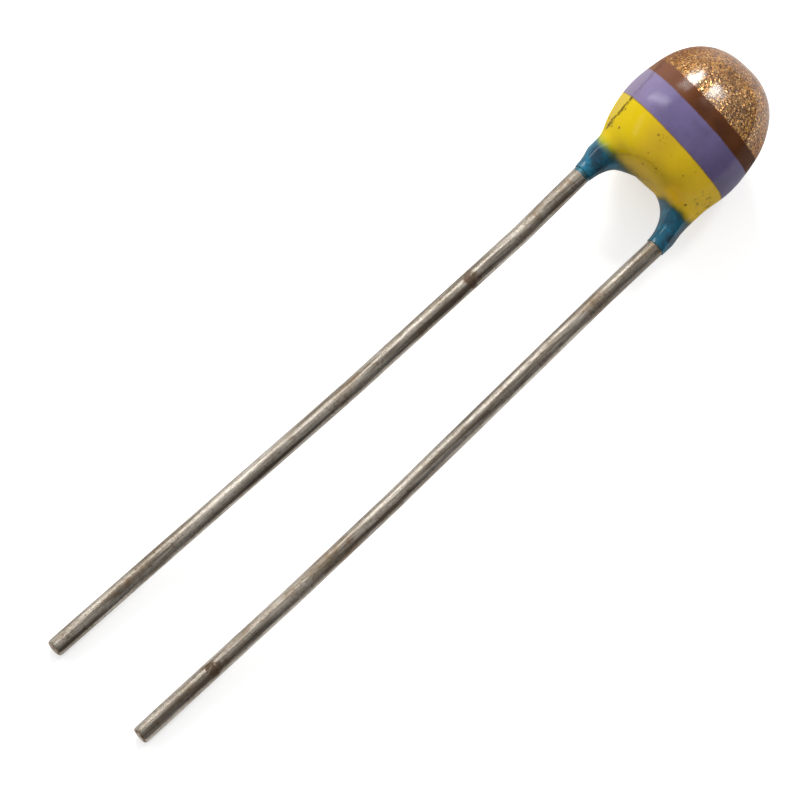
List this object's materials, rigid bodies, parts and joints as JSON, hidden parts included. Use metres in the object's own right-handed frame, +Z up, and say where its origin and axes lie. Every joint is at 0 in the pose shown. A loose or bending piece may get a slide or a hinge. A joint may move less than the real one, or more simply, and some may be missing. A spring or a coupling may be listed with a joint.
{
  "type": "thermistor",
  "caption": "Leaded disc thermistor: a lacquered, colour-banded bead on two bent tinned wires, a resistor whose resistance changes with temperature",
  "frame": {"origin": "on the bench under the middle of the part's bounding box", "axes": "+X along the wires from their cut ends to the dome, +Y to the left wire, +Z up from the bench"},
  "size_m": [0.0284, 0.0049, 0.0044],
  "materials": {
    "sintered_ceramic": "matt sintered metal oxide",
    "fired_silver": "matt fired silver",
    "tinned_wire": "dull drawn tin with stains",
    "solder": "bright solder",
    "teal_lacquer": "glossy dipped lacquer",
    "yellow_paint": "glossy paint",
    "violet_paint": "glossy paint",
    "brown_paint": "glossy paint",
    "gold_paint": "coarse metal flake under clear lacquer"
  },
  "bodies": {
    "root": {"ceramic_disc": "sintered_ceramic", "upper_silver_face": "fired_silver", "lower_silver_face": "fired_silver", "left_lead": "tinned_wire", "right_lead": "tinned_wire", "left_solder": "solder", "right_solder": "solder", "base_lacquer": "teal_lacquer", "yellow_band": "yellow_paint", "violet_band": "violet_paint", "brown_band": "brown_paint", "gold_cap": "gold_paint"}
  },
  "joints": []
}
